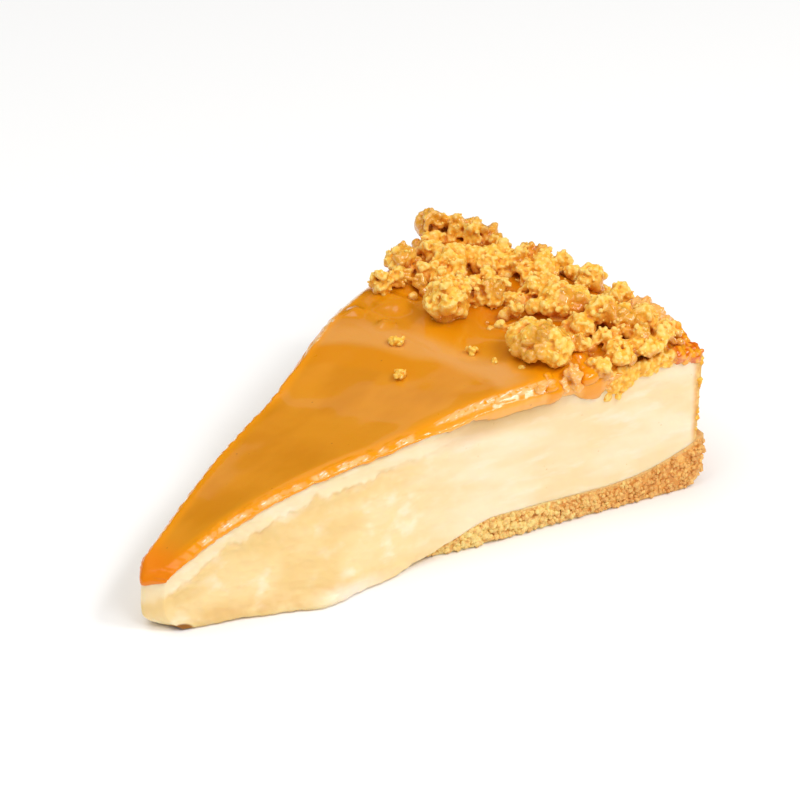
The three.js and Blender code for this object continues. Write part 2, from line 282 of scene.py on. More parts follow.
def along_slice(share, across, start, end):
    return lerp(start + TIP_ROUND * across**2, end, share**1.3)


def base_worn(up):
    """How far the worn foot of the base draws in under the rim."""
    return BASE_FOOT * (1 - math.sqrt(1 - (1 - min(up * 2, 1)) ** 2))


def base_set_in(radius):
    return BASE_INSET["depth"] * (1 - ease(radius, *BASE_INSET["along"]))


def base_coarseness(radius):
    """1 towards the tip, where the base is coarse, and 0 near the rim."""
    return 1 - ease(radius, 84, 112)


def block(cuts, shape):
    """A closed block: shape(along, across, up) gives a point for along 0..1, across -1..1 and up 0..1."""
    bm = bmesh.new()
    bmesh.ops.create_cube(bm, size=1)
    for axis, count in enumerate(cuts):
        edges = [e for e in bm.edges if abs(e.verts[0].co[axis] - e.verts[1].co[axis]) > 0.5]
        bmesh.ops.subdivide_edges(bm, edges=edges, cuts=count - 1, use_grid_fill=True)
    for vert in bm.verts:
        x, y, z = vert.co
        vert.co = shape(x + 0.5, 2 * y, z + 0.5)
    return bm


def relieve(bm, relief):
    """Moves each vertex along its normal by relief(place, normal)."""
    bm.normal_update()
    moves = [vert.normal * relief(vert.co, vert.normal) for vert in bm.verts]
    for vert, move in zip(bm.verts, moves):
        vert.co += move


def soften(bm, verts, rounds):
    for _ in range(rounds):
        bmesh.ops.smooth_vert(bm, verts=verts, factor=0.5, use_axis_x=True, use_axis_y=True, use_axis_z=True)


def mesh_of(name, bm):
    mesh = bpy.data.meshes.new(name)
    bm.to_mesh(mesh)
    bm.free()
    return mesh


def placed(name, data):
    """A new object in the scene."""
    made = bpy.data.objects.new(name, data)
    bpy.context.scene.collection.objects.link(made)
    return made


def finish_piece(name, bm, material, marks):
    """Makes the piece, in metres and in place. Each mark is a number, or a function of the vertex's place."""
    for mark, value in marks.items():
        layer = bm.verts.layers.float.new(mark)
        for vert in bm.verts:
            vert[layer] = value(vert.co) if callable(value) else value
    bmesh.ops.scale(bm, vec=(MM, MM, MM), verts=bm.verts)
    for face in bm.faces:
        face.smooth = True
    piece = placed(name, mesh_of(name, bm))
    piece.data.materials.append(material)
    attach(piece, "root")
    return piece


class Value:
    """A socket of a shader tree. Sums on it add its Math nodes."""

    def __init__(self, finish, socket):
        self.finish = finish
        self.socket = socket

    def math(self, operation, first, second):
        return self.finish.node("ShaderNodeMath", {"operation": operation}, {0: first, 1: second})

    def __add__(self, other):
        return self.math("ADD", self, other)

    def __sub__(self, other):
        return self.math("SUBTRACT", self, other)

    def __rsub__(self, other):
        return self.math("SUBTRACT", other, self)

    def __mul__(self, other):
        return self.math("MULTIPLY", self, other)

    __radd__ = __add__
    __rmul__ = __mul__

    def step(self, low, high):
        """0 below low and 1 above high, smoothly."""
        smooth = {"interpolation_type": "SMOOTHSTEP"}
        return self.finish.node("ShaderNodeMapRange", smooth, {0: self, "From Min": low, "From Max": high})


class Finish:
    """A material and the nodes that make it."""

    def __init__(self, name, **surface):
        self.material = bpy.data.materials.new(name)
        self.material.use_nodes = True
        self.tree = self.material.node_tree
        self.surface = self.tree.nodes["Principled BSDF"]
        for socket, value in surface.items():
            self.surface.inputs[socket.replace("_", " ")].default_value = value
        place = self.node("ShaderNodeTexCoord", {}, {}, "Object")
        self.place = self.node("ShaderNodeVectorMath", {"operation": "SCALE"}, {0: place, "Scale": 1 / MM})

    def node(self, kind, settings, sockets, output=0):
        made = self.tree.nodes.new(kind)
        for setting, value in settings.items():
            setattr(made, setting, value)
        for socket, value in sockets.items():
            if isinstance(value, Value):
                self.tree.links.new(value.socket, made.inputs[socket])
            else:
                made.inputs[socket].default_value = value
        return Value(self, made.outputs[output])

    def noise(self, size, stretch=(1, 1, 1), detail=2.0, moved=(0, 0, 0)):
        """Cloudy values round 0.5, with clouds of that size in millimetres."""
        mapping = {"Vector": self.place, "Location": moved, "Scale": stretch}
        vector = self.node("ShaderNodeMapping", {}, mapping)
        return self.node("ShaderNodeTexNoise", {}, {"Vector": vector, "Scale": 1 / size, "Detail": detail})

    def cells(self, size, output="Distance"):
        return self.node("ShaderNodeTexVoronoi", {}, {"Vector": self.place, "Scale": 1 / size}, output)

    def mark(self, name):
        return self.node("ShaderNodeAttribute", {"attribute_name": name}, {}, "Fac")

    def mix(self, first, second, share):
        """From the first colour to the second."""
        return self.node("ShaderNodeMix", {"data_type": "RGBA"}, {0: share, 6: first, 7: second}, 2)

    def layered(self, colour, *layers):
        """That colour with others laid over it in turn, each with its share."""
        for over, share in layers:
            colour = self.mix(colour, over, share)
        return colour

    def bump(self, height, strength, depth):
        sockets = {"Height": height, "Strength": strength, "Distance": depth * MM}
        return self.node("ShaderNodeBump", {}, sockets)

    def feed(self, **sockets):
        for socket, value in sockets.items():
            self.tree.links.new(value.socket, self.surface.inputs[socket.replace("_", " ")])
        return self.material


def shade(red, green, blue):
    """A colour given as it looks on screen, from 0 to 255."""
    def linear(level):
        level /= 255
        return level / 12.92 if level < 0.04045 else ((level + 0.055) / 1.055) ** 2.4

    return (linear(red), linear(green), linear(blue), 1)


def filling_finish():
    finish = Finish(
        "baked filling",
        Subsurface_Weight=0.35,
        Subsurface_Radius=(1.0, 0.6, 0.3),
        Subsurface_Scale=3 * MM,
        Specular_IOR_Level=0.4,
    )
    radius = finish.mark("radius")
    below = finish.mark("below_top")
    strip = finish.mark("strip")
    foot = finish.mark("foot")
    height = finish.node("ShaderNodeSeparateXYZ", {}, {0: finish.place}, "Z")
    clouds = finish.noise(9, stretch=(0.5, 1, 1.6)).step(0.35, 0.65)
    smears = finish.noise(2.6, stretch=(0.25, 1, 1.2), detail=3.0)
    slumped = (1 - radius.step(45, 84)) * (1 - strip)
    upright = (1 - radius.step(52, 76)) * strip
    patches = finish.noise(4, stretch=(0.6, 1, 1), detail=3.0).step(0.5, 0.74) * (1 - radius.step(60, 90))
    crease_shade_line = strip * (1 - strip) * (1 - radius.step(52, 72)) * finish.noise(3, detail=3.0).step(0.4, 0.6)
    veils = finish.noise(8, stretch=(0.5, 1, 1), moved=(3, 1, 7)).step(0.46, 0.66) * slumped
    creased = finish.mark("crease") * (1 - radius.step(50, 74))
    shaded = (1 - below.step(4.5, 9)) * radius.step(68, 80) * (1 - radius.step(90, 104))
    # Painted shade low on the cut face, above the foot, broken up by noise.
    low = (1 - height.step(1.5, 5)) * radius.step(13, 22) * (1 - radius.step(50, 64))
    painted_low_shade = low * finish.noise(5, detail=3.0).step(0.3, 0.6)
    edge = 1 - (below + finish.noise(1.6, detail=3.0) * 3).step(3.6, 5.2)
    browned = radius.step(123.5, 125.5) * (1 - (below + finish.noise(1.6) * 2).step(3.2, 4.8))
    pores = (1 - finish.cells(1.7).step(0.06, 0.16)) * finish.noise(5).step(0.54, 0.62) * radius.step(60, 100)
    baking = finish.noise(2.2, detail=4.0).step(0.36, 0.64)
    crusting = finish.noise(1.2, detail=3.0).step(0.4, 0.6)
    browning = finish.noise(1.3, detail=3.0).step(0.42, 0.62)
    baked = finish.mix(shade(232, 160, 66), shade(252, 202, 116), baking)
    crust = finish.mix(shade(250, 196, 96), shade(222, 132, 40), crusting)
    brown = finish.mix(shade(242, 156, 54), shade(216, 110, 24), browning)
    cream = finish.layered(
        finish.mix(shade(247, 218, 170), shade(254, 229, 193), clouds),
        (shade(255, 236, 210), smears.step(0.5, 0.8) * 0.7),
        (shade(247, 214, 148), slumped * 0.75),
        (shade(252, 230, 184), upright * 0.5),
        (shade(255, 238, 208), patches * 0.8),
        # painted shade: a thin darker line along the crease, and a band just below it
        (shade(236, 194, 118), crease_shade_line * 1.4),
        (shade(234, 198, 126), veils * 0.65),
        (shade(236, 202, 132), creased * 0.6),
        (shade(206, 162, 96), shaded * 0.75),
        (shade(226, 178, 104), painted_low_shade * 0.6),
        (baked, radius.step(127.6, 129.2) * 0.9),
        # painted highlight on the glossy lobe at the foot
        (shade(255, 236, 214), foot * 0.85),
        # painted shade: a dark patch where a small notch would be
        (shade(150, 92, 14), finish.mark("notch")),
        (crust, radius.step(108, 114) * edge),
        (brown, browned),
        (shade(226, 186, 116), pores * 0.5),
    )
    bumps = finish.noise(0.7, detail=3.0) * 0.4 + smears - pores * 1.5
    roughness = 0.38 + finish.noise(6) * 0.25 - foot * 0.3 - browned * 0.25
    return finish.feed(Base_Color=cream, Roughness=roughness, Normal=finish.bump(bumps, 0.35, 0.25))


def caramel_finish():
    finish = Finish(
        "caramel glaze",
        Subsurface_Weight=0.2,
        Subsurface_Radius=(1.0, 0.45, 0.1),
        Subsurface_Scale=1.6 * MM,
        Specular_IOR_Level=0.3,
        Coat_Roughness=0.07,
        Coat_IOR=1.5,
    )
    radius = finish.mark("radius")
    lip = finish.mark("lip")
    drip = finish.mark("drip")
    swirls = finish.noise(14, stretch=(0.7, 1, 1), detail=3.0).step(0.4, 0.6)
    nose = 1 - radius.step(11.5, 19)
    thin = finish.mark("below_top").step(1.2, 2) * radius.step(64, 72) * (1 - drip)
    streaks = finish.noise(0.45, stretch=(0.15, 1, 1), detail=3.0)
    glint = finish.mark("glint") * finish.noise(0.9, detail=3.0).step(0.3, 0.5)
    specks = (1 - finish.cells(2.6).step(0.05, 0.1)) * finish.noise(6).step(0.52, 0.6)
    caramel = finish.layered(
        finish.mix(shade(216, 136, 12), shade(226, 146, 24), swirls),
        # deeper colour of thick glaze in the hollows, with painted shade
        (shade(222, 138, 0), finish.mark("hollow") * 0.9),
        # painted reflection along the wave's crest
        (shade(228, 158, 74), finish.mark("crest") * 0.85),
        # painted shade under the heap
        (shade(204, 112, 0), finish.mark("bed") * 0.75),
        (shade(248, 156, 0), lip * 0.9),
        (shade(236, 128, 0), nose * 0.9),
        (shade(250, 176, 76), thin * 0.8),
        (shade(240, 152, 0), drip * 0.9),
        # painted highlights on the lip: peach streaks with whiter specks
        (shade(255, 206, 140), glint * (0.35 + streaks * 0.6)),
        (shade(255, 240, 214), glint * streaks.step(0.54, 0.66) * 0.9),
        (shade(170, 92, 16), specks * 0.6),
    )
    roughness = 0.24 + finish.noise(4, detail=3.0) * 0.14
    bumps = finish.noise(3.4) + finish.noise(0.8) * 0.12 + streaks * (0.2 + glint * 1.2) * lip
    normal = finish.bump(bumps, 0.25, 0.3)
    gloss = 0.2 + radius.step(14, 23) * 0.5
    return finish.feed(Base_Color=caramel, Roughness=roughness, Coat_Weight=gloss, Normal=normal)


def streusel_finish():
    finish = Finish(
        "streusel",
        Subsurface_Weight=0.15,
        Subsurface_Radius=(1.0, 0.5, 0.15),
        Subsurface_Scale=0.8 * MM,
        Coat_Roughness=0.12,
    )
    relief = finish.mark("relief")
    coated = finish.mark("coated")
    clear = finish.mark("open")
    browned = finish.mark("browned")
    grain = finish.noise(1.1, detail=4.0)
    grit = 1 - finish.cells(0.75).step(0.12, 0.42)
    low = 1 - (finish.mark("above_glaze") + (finish.noise(5) - 0.5) * 4).step(0.2, 1.8)
    toasting = finish.noise(1.6, detail=3.0).step(0.4, 0.6)
    soaked_and_shaded = finish.mix(shade(196, 100, 2), shade(224, 134, 12), grain.step(0.3, 0.7))
    gold = finish.layered(
        finish.mix(shade(246, 170, 34), shade(255, 200, 72), grain.step(0.35, 0.65)),
        # painted highlights: paler on the raised crumbs, and pale specks on the grains
        (shade(255, 220, 122), relief.step(0.02, 0.18) * 0.75),
        (shade(255, 232, 156), grit * relief.step(-0.08, 0.1) * 0.6),
        # painted shade in the crevices
        (soaked_and_shaded, (1 - relief.step(-0.24, -0.02)) * 0.7),
        (shade(228, 154, 40), coated * 0.7),
        # painted shade where few ways out are clear
        (shade(222, 122, 10), (1 - clear.step(0.2, 0.7)) * 0.6),
        (shade(150, 60, 0), (1 - clear.step(0.02, 0.25)) * 0.7),
        # soaked in caramel low down, and painted shade deep between the clumps
        (soaked_and_shaded, low * 0.7),
        (finish.mix(shade(250, 166, 30), shade(222, 104, 0), toasting), browned),
    )
    roughness = 0.5 - coated * 0.22 - low * 0.15 + (grain - 0.5) * 0.3 - browned * 0.3
    gloss = coated * 0.8 + low * 0.5 + browned * 0.7
    normal = finish.bump(grain + grit * 0.5, 0.5, 0.25)
    return finish.feed(Base_Color=gold, Roughness=roughness, Coat_Weight=gloss, Normal=normal)


def biscuit_finish():
    finish = Finish("biscuit base", Subsurface_Weight=0.1, Subsurface_Scale=1 * MM)
    radius = finish.mark("radius")
    relief = finish.mark("relief")
    crumbs = finish.cells(0.9, "Color")
    pits = finish.noise(1.3, detail=4.0)
    pale = finish.mix(shade(246, 190, 88), shade(255, 230, 150), crumbs)
    brown = finish.mix(shade(216, 136, 50), shade(255, 200, 112), crumbs)
    tan = 1 - finish.mark("under_filling").step(0.5, 1.4)
    painted_highlight = relief.step(0.06, 0.22) * (1 - radius.step(90, 120) * 0.6)
    biscuit = finish.layered(
        finish.mix(pale, brown, (pits + radius.step(84, 122) * 0.22).step(0.46, 0.62)),
        (shade(222, 160, 84), tan * 0.8),
        # painted shade in the crevices
        (shade(190, 104, 20), (1 - relief.step(-0.22, -0.04)) * 0.75),
        # painted highlight on the raised crumbs
        (shade(255, 232, 164), painted_highlight * 0.6),
    )
    bumps = pits - finish.cells(0.7)
    roughness = 0.55 + (crumbs - 0.5) * 0.3
    return finish.feed(Base_Color=biscuit, Roughness=roughness, Normal=finish.bump(bumps, 0.6, 0.3))


def filling_point(share, across, up):
    tuck = NOSE_TUCK["depth"] * (1 - min(up / NOSE_TUCK["height"], 1)) ** 2
    start = TIP_RADIUS + tuck - NOSE_BULGE * math.sin(math.pi * up)
    radius = along_slice(share, across, start, CAKE_RADIUS - RIM_LEAN * (1 - up))
    low = lerp(SMEAR["above"], base_top(radius) + GAP, ease(radius, *SMEAR["along"]))
    z = lerp(low, filling_top(radius, across), up)
    return on_slice(radius, across, z, across**4 * cut_face(radius, across, z))


def crease_depth(radius, across):
    """How far below the top the upright strip of a cut face ends and the slumped part starts."""
    side = side_of(across)
    scallops = 1.8 * waver(radius / 3.8, 3 * side, 4)
    nicks = 0.9 * waver(radius / 1.3, side, 7)
    return UPRIGHT_DEPTH + scallops + nicks


def strip_mark(place):
    """1 on the upright strip and 0 below its crease."""
    return ease(crease_depth(*polar(place)) - below_top_mark(place), -1, 1.1)


def crease_mark(place):
    """1 in the shade just below the crease."""
    return bell(below_top_mark(place), crease_depth(*polar(place)) + 1.7, 1.5)


def filling_relief(place, normal):
    """Smears along the cut faces, and a small step where the slumped part starts."""
    radius, across = polar(place)
    below = below_top_mark(place)
    on_cut = ease(abs(normal.y), 0.3, 0.6) * ease(below, 1.6, 2.6) * ease(radius, 11, 14)
    slumped = 1 - ease(radius, 60, 82)
    smears = (0.2 + 0.25 * slumped) * waver(place.x / 7, 3 * across, place.z / 2.6)
    fine = 0.14 * waver(place.x / 1.6, 5 * across, place.z / 0.9)
    crease = crease_depth(radius, across)
    broken = ease(waver(place.x / 4, across, 8), -0.25, 0.2)
    step = 0.25 * ease(crease - below, -0.4, 0.8) - 0.35 * broken * bell(below, crease + 0.3, 0.55)
    return on_cut * (smears + fine * (0.5 + slumped) + step * slumped)


def flap_depth(radius, across):
    """How far below its top the glaze ends on a cut face."""
    side = side_of(across)
    wander = 0.45 * waver(radius / 2.4, 7 * side, 1) + 0.25 * waver(radius, side, 9)
    return drip_depth(radius, across) + FLAP_DEPTH + wander


def glaze_end(across):
    """How far from the cake's middle the glaze ends."""
    edge = ease(abs(across), GLAZE_EDGE["from"], 1)
    end = lerp(GLAZE_END["middle"], GLAZE_END[side_of(across)], edge**2)
    return end + sum(length * bell(across, middle, half) for middle, half, length in TONGUES)


def glaze_ripple(radius, across):
    """The glaze keeps soft folds over the wave, runs over small crumbs and climbs the feet of the clumps."""
    place = on_slice(radius, across, 0)
    folds = waver(place.x / 8, place.y / 15, 2)
    height = 0.35 * folds * ease(radius, 50, 66) + 0.05 * noise.noise(place / 5)
    for middle, spot, size in COATED_CRUMBS:
        away = (place - on_slice(middle, spot, 0)).length + 0.8 * noise.noise(place / 2.4)
        height += COATED_BUMP["height"] * size * ease(1 - away / (COATED_BUMP["reach"] * size), 0, 1)
    if radius < 84:
        return height
    climbs = [
        bell((place - on_slice(middle, spot, 0)).length, 0, MENISCUS["reach"] * width)
        for middle, spot, width, _, stacked in CLUMPS
        if stacked < 1
    ]
    front = bed_front(across)
    bed = ease(radius, front - 1, front + 4) * ease(1 - abs(across), 0.02, 0.2)
    pool = POOL["height"] * bed * (0.5 + noise.noise(place / POOL["size"]))
    inside = ease(glaze_end(across) - radius, 0, 5) * ease(1 - abs(across), 0, 0.1)
    return height + inside * (MENISCUS["height"] * max(climbs) + pool)


def glaze_over(radius, across, end):
    side = side_of(across)
    edge = ease(abs(across), GLAZE_EDGE["from"], 1)
    ribbon = ease(radius, *SHOULDER["along"])
    shoulder = lerp(SHOULDER["plain"], SHOULDER["ribbon"], ribbon)
    steep = lerp(0.6, 0.8, ribbon) * shoulder
    curve = lerp(2, 1.3, ribbon)
    rounding = GLAZE_EDGE["drop"] * edge**2
    rounding += steep * clamp(1 - from_face(radius, across) / shoulder) ** curve
    from_nose = radius - (TIP_RADIUS - GLAZE_LIP["nose"] + TIP_ROUND * across**2)
    rounding += NOSE_ROLL["drop"] * clamp(1 - from_nose / NOSE_ROLL["length"]) ** 2
    bead = 1 + 0.4 * waver(radius / 1.5, 5 * side, 3)
    top = glaze_top(radius, across) + glaze_ripple(radius, across) - rounding
    thin = ease(end - radius, 0, 4)
    top = lerp(filling_top(radius, across) + 0.25, top, thin)
    outward = across**6 * (cut_face(radius, across, top) + 0.8 * GLAZE_LIP[side] * bead)
    return on_slice(radius, across, top, outward)


def glaze_under(radius, row):
    """The underside lies on the filling, and its outer rows climb the cut face inside the flap."""
    side = side_of(row)
    if abs(row) >= GLAZE_CLIMB:
        climb = (1 - abs(row)) / (1 - GLAZE_CLIMB)
        low = glaze_top(radius, side) - flap_depth(radius, row)
        z = lerp(low, filling_top(radius, side) + GAP, climb)
        return on_slice(radius, side, z, cut_face(radius, side, z) + GAP)
    across = row / GLAZE_CLIMB
    z = filling_top(radius, across) + GAP
    return on_slice(radius, across, z, across**4 * cut_face(radius, across, z))


def glaze_point(share, row, up):
    across = math.copysign(1 - (1 - abs(row)) ** 1.5, row)
    side = side_of(row)
    end = glaze_end(across)
    radius = along_slice(share, across, TIP_RADIUS - GLAZE_LIP["nose"], end)
    over = glaze_over(radius, across, end)
    under = glaze_under(max(radius, TIP_RADIUS + TIP_ROUND * across**2 - 0.1), row)
    nose = 1 - ease(share, 0, 0.004)
    under.z = lerp(under.z, glaze_top(radius, across) - flap_depth(radius, row), nose)
    point = under.lerp(over, up)
    belly = GLAZE_LIP[side] * 0.45 * math.sin(math.pi * up) ** 0.7
    if abs(row) > 0.9999:
        point += Vector((-math.sin(HALF_SLICE), side * math.cos(HALF_SLICE), 0)) * belly
    elif share < 0.0001:
        point.x -= belly
    return point


def lip_beads(place, normal):
    """Where the glaze ran over the cut faces it set in small beads, which catch the light."""
    radius, across = polar(place)
    side = side_of(across)
    on_lip = 1 - ease(from_face(radius, across), 0.3, 1.5)
    outer = ease(max(normal.z, side * normal.y), 0.2, 0.5)
    beaded = between(radius, *BEADS["along"])
    spot = Vector((radius, 9 * side, 1.5 * place.z))
    bead = domes(spot, BEADS["size"]) - 0.6 + 0.4 * (domes(spot, 0.5 * BEADS["size"]) - 0.6)
    ridges = waver(radius / 6, side, place.z / 0.45)
    fine = noise.noise(place / 0.7)
    height = BEADS["height"] if side == SHOWN else 0.4 * BEADS["height"]
    relief = beaded * (height * bead + 0.08 * fine) + (1 - beaded) * 0.12 * ridges
    return on_lip * outer * (relief + 0.35 * drip_mark(place))


def base_point(share, across, up):
    end = CAKE_RADIUS + BASE_PROUD - base_worn(up)
    radius = along_slice(share, across, TIP_RADIUS + 2 * BASE_INSET["depth"], end)
    return on_slice(radius, across, base_top(radius) * up, -(across**4) * base_set_in(radius))


def base_relief(place, normal):
    """Crumbs and pits all over what is seen of the base, coarse towards the tip and fine near the rim."""
    radius = polar(place)[0]
    seen = 1 - ease(abs(normal.z), 0.5, 0.9)
    coarse = base_coarseness(radius)
    under_filling = ease(base_top(radius) - place.z, 0.2, 1.4)
    warped = place + 0.4 * noise.noise_vector(place / 1.3)
    crumbs = lerp(0.2, 0.38, coarse) * (domes(warped, 1.7) - 0.7) + 0.26 * (domes(warped, 0.9) - 0.7)
    return seen * lerp(0.3, 1, under_filling) * crumbs + 0.1 * noise.noise(place / 0.6)


def radius_mark(place):
    return polar(place)[0]


def below_top_mark(place):
    radius, across = polar(place)
    return glaze_top(radius, clamp(across, -1, 1)) - place.z


def under_filling_mark(place):
    """How far below the filling a place on the base is."""
    return base_top(polar(place)[0]) - place.z


def lip_mark(place):
    """1 on the flaps and at the nose, where the glaze is thick and deep in colour."""
    radius, across = polar(place)
    on_lip = 1 - ease(from_face(radius, across), 0.6, 3.4)
    return max(on_lip, 1 - ease(radius, 11, 16))


def glint_mark(place):
    """1 on the painted highlight streaks along the lip: a long one behind the wave and short ones before it.
    """
    radius, across = polar(place)
    side = side_of(across)
    round_lip = below_top_mark(place) - from_face(radius, across) + 0.5 * waver(radius / 2.2, side, 5)
    on_ribbon = between(radius, *RIBBON["along"])
    ribbon = on_ribbon * ease(1 - abs(round_lip) / (RIBBON["half"] * (0.3 + 0.7 * on_ribbon)), 0, 0.4)
    streaks = max(ease(half + 0.5 - abs(radius - middle), 0, 1) for middle, half in GLINTS[side])
    return max(ribbon, streaks * ease(1 - abs(round_lip - 1.1) / 1.1, 0, 0.5))


def drip_mark(place):
    """1 on the flap where the caramel of the heap has run down over it."""
    radius, across = polar(place)
    if across > -0.8:
        return 0
    spans = ((middle, 0.5 * width + 0.5) for middle, _, width, *_ in HEAP_DRIPS)
    return max(ease(half - abs(radius - middle), 0, 1.2) for middle, half in spans)


def from_crest(radius, across):
    wander = 2 * waver(radius / 9, 2.4 * across, 6)
    return radius + wander - CREST["middle"] - CREST["turn"] * across


def crest_mark(place):
    """1 along the crest of the wave, where a pale reflection is painted on the glaze."""
    radius, across = polar(place)
    off = from_crest(radius, across)
    start = -CREST["before"]
    return between(off, start - 1.2, start + 1.4, 1, CREST["after"]) * ease(1 - abs(across), 0.01, 0.12)


def hollow_mark(place):
    """1 in the hollows before and behind the crest, where the glaze is thick and deep in colour, with shade
    painted in.
    """
    radius, across = polar(place)
    off = from_crest(radius, across)
    return max(between(off, -9, -7, -3.6, -2) * ease(across, -0.95, 0), ease(off, 4, 9))


def bed_mark(place):
    """1 under the heap, where the glaze is painted darker for the shade between the clumps."""
    radius, across = polar(place)
    front = bed_front(across)
    return ease(radius, front - 1, front + 6) * ease(1 - abs(across), 0, 0.08)


def foot_mark(place):
    """1 on the glossy lobe that the shown face has at its foot, where a highlight is painted pale."""
    radius, across = polar(place)
    along = bell(radius, FOOT_LOBE["middle"] + 6, FOOT_LOBE["width"])
    return along * (1 - ease(place.z, 1.2, FOOT_LOBE["height"])) * (across < -0.9)


def notch_mark(place):
    """1 on a small dark patch at the foot of the shown face, near the tip: painted shade for a notch that is
    not cut.
    """
    radius, across = polar(place)
    away = math.hypot((radius - NOTCH["middle"]) / NOTCH["half"], place.z / NOTCH["height"])
    return ease(1 - away, 0, 0.25) * (across < -0.8)


def make_filling():
    bm = block(FILLING_CUTS, filling_point)
    relieve(bm, filling_relief)
    marks = {
        "radius": radius_mark,
        "below_top": below_top_mark,
        "strip": strip_mark,
        "crease": crease_mark,
        "foot": foot_mark,
        "notch": notch_mark,
    }
    piece = finish_piece("filling_baked", bm, filling_finish(), marks)
    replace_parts(piece, "baked_filling")


GLAZE_MARKS = {
    "radius": radius_mark,
    "below_top": below_top_mark,
    "lip": lip_mark,
    "crest": crest_mark,
    "hollow": hollow_mark,
    "bed": bed_mark,
    "glint": glint_mark,
    "drip": drip_mark,
}


def make_glaze(caramel):
    bm = block(GLAZE_CUTS, glaze_point)
    rims = [v for v in bm.verts if abs(polar(v.co)[1]) > 0.85 and v.co.z > glaze_top(*polar(v.co)) - 2]
    nose = [v for v in bm.verts if polar(v.co)[0] < TIP_RADIUS + TIP_ROUND]
    soften(bm, rims, SOFTENING["rims"])
    soften(bm, nose, SOFTENING["nose"])
    relieve(bm, lip_beads)
    piece = finish_piece("glaze_caramel", bm, caramel, GLAZE_MARKS)
    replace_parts(piece, "caramel_glaze")


def base_crumbs(dice):
    """Loose crumbs on what is seen of the base: both cut faces and the outer wall."""
    places = []
    count, *sizes = BASE_CRUMBS["cut"]
    while len(places) < count:
        radius = lerp(BASE_INSET["along"][0], CAKE_RADIUS + BASE_PROUD, dice.random())
        z = dice.uniform(0.25, base_top(radius) - 0.6)
        size = dice.uniform(*sizes) + base_coarseness(radius) * dice.random() ** 2
        side = dice.choice((SHOWN, HIDDEN))
        if radius < CAKE_RADIUS + BASE_PROUD - 0.3 - base_worn(z / base_top(radius)):
            out = (0.12 if z < base_top(radius) - 1.4 else -0.15) * size
            places.append((on_slice(radius, side, max(z, 0.45 * size), out - base_set_in(radius)), size))
    count, *sizes = BASE_CRUMBS["wall"]
    for _ in range(count):
        up = dice.uniform(0.06, 0.95)
        size = dice.uniform(*sizes)
        radius = CAKE_RADIUS + BASE_PROUD - base_worn(up) + 0.1 * size
        place = on_slice(radius, dice.uniform(-1, 1), max(base_top(CAKE_RADIUS) * up, 0.45 * size))
        places.append((place, size))
    return places


def make_base(biscuit):
    bm = block(BASE_CUTS, base_point)
    relieve(bm, base_relief)
    cavity(bm)
    marks = {"radius": radius_mark, "under_filling": under_filling_mark}
    piece = finish_piece("base_biscuit", bm, biscuit, marks)
    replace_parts(piece, "biscuit_base")
    dice = random.Random(SEEDS["base"])
    # the fixed relief gives the loose crumbs their painted highlight
    marks = {"radius": radius_mark, "under_filling": 2, "relief": 0.12}
    finish_piece("base_crumbs", grains(base_crumbs(dice), dice), biscuit, marks)


def ball_template(subdivisions):
    bm = bmesh.new()
    bmesh.ops.create_icosphere(bm, subdivisions=subdivisions, radius=0.5)
    return mesh_of("ball", bm)


BALLS = {"rough": ball_template(1), "plain": ball_template(2), "fine": ball_template(3)}


def put_ball(bm, kind, middle, widths, turn):
    """A ball with those three widths, turned and joined to bm."""
    shaped = BALLS[kind].copy()
    shaped.transform(Matrix.Translation(middle) @ turn @ Matrix.Diagonal((*widths, 1)))
    bm.from_mesh(shaped)
    bpy.data.meshes.remove(shaped)


def add_ball(bm, kind, middle, widths, dice):
    """The same, turned any way."""
    put_ball(bm, kind, middle, widths, Euler(spread(1, dice, 0, math.tau)).to_matrix().to_4x4())


def any_way(dice, lowest=-1):
    """A direction, no lower than that."""
    climb = dice.uniform(lowest, 1)
    angle = dice.uniform(0, math.tau)
    flat = math.sqrt(1 - climb**2)
    return Vector((flat * math.cos(angle), flat * math.sin(angle), climb))


def clump(middle, width, height, dice):
    """An uneven lump of a few lobes, with knobs of all sizes pressed into it."""
    bm = bmesh.new()
    stretch = dice.uniform(0.84, 1.18)
    turn = Matrix.Rotation(dice.uniform(0, math.tau), 3, "Z")
    dents = Vector(spread(1, dice, 0, 90))
    half = Vector((width * stretch / 2, width / stretch / 2, height / 2))
    for _ in range(3 + round(width / 5)):
        way = any_way(dice)
        shift = Vector((way.x * half.x, way.y * half.y, way.z * half.z)) * dice.uniform(0.25, 0.55)
        lobe = dice.uniform(0.34, 0.56)
        widths = [2 * side * lobe * dice.uniform(0.85, 1.15) for side in half]
        add_ball(bm, dice.choice(("rough", "fine")), middle + turn @ shift, widths, dice)
    area = math.pi * ((width + height) / 2) ** 2
    for _ in range(round(area * KNOBS["density"])):
        way = any_way(dice, -0.55)
        size = lerp(*KNOBS["size"], dice.random() ** 1.7) * clamp(width / 7, 0.6, 1.15)
        reach = clamp(dice.uniform(0.78, 1) + 0.55 * noise.noise(1.5 * way + dents), 0.4, 1.1)
        place = turn @ Vector([w * (side - size / 2) * reach for w, side in zip(way, half)])
        widths = spread(size, dice, 0.7, 1.3)
        add_ball(bm, dice.choice(("rough", "plain")), middle + place, widths, dice)
        for _ in range(2):
            grit = dice.uniform(*KNOBS["grit"])
            out = (way + any_way(dice) * 0.9).normalized()
            nearby = middle + place + out * size * 0.45
            add_ball(bm, "rough", nearby, spread(grit, dice, 0.8, 1.3), dice)
    return bm


def joined(bms):
    """All of them in one mesh. It isn't an object yet."""
    whole = bmesh.new()
    scratch = bpy.data.meshes.new("joining")
    for bm in bms:
        bm.to_mesh(scratch)
        whole.from_mesh(scratch)
        bm.free()
    bpy.data.meshes.remove(scratch)
    return whole


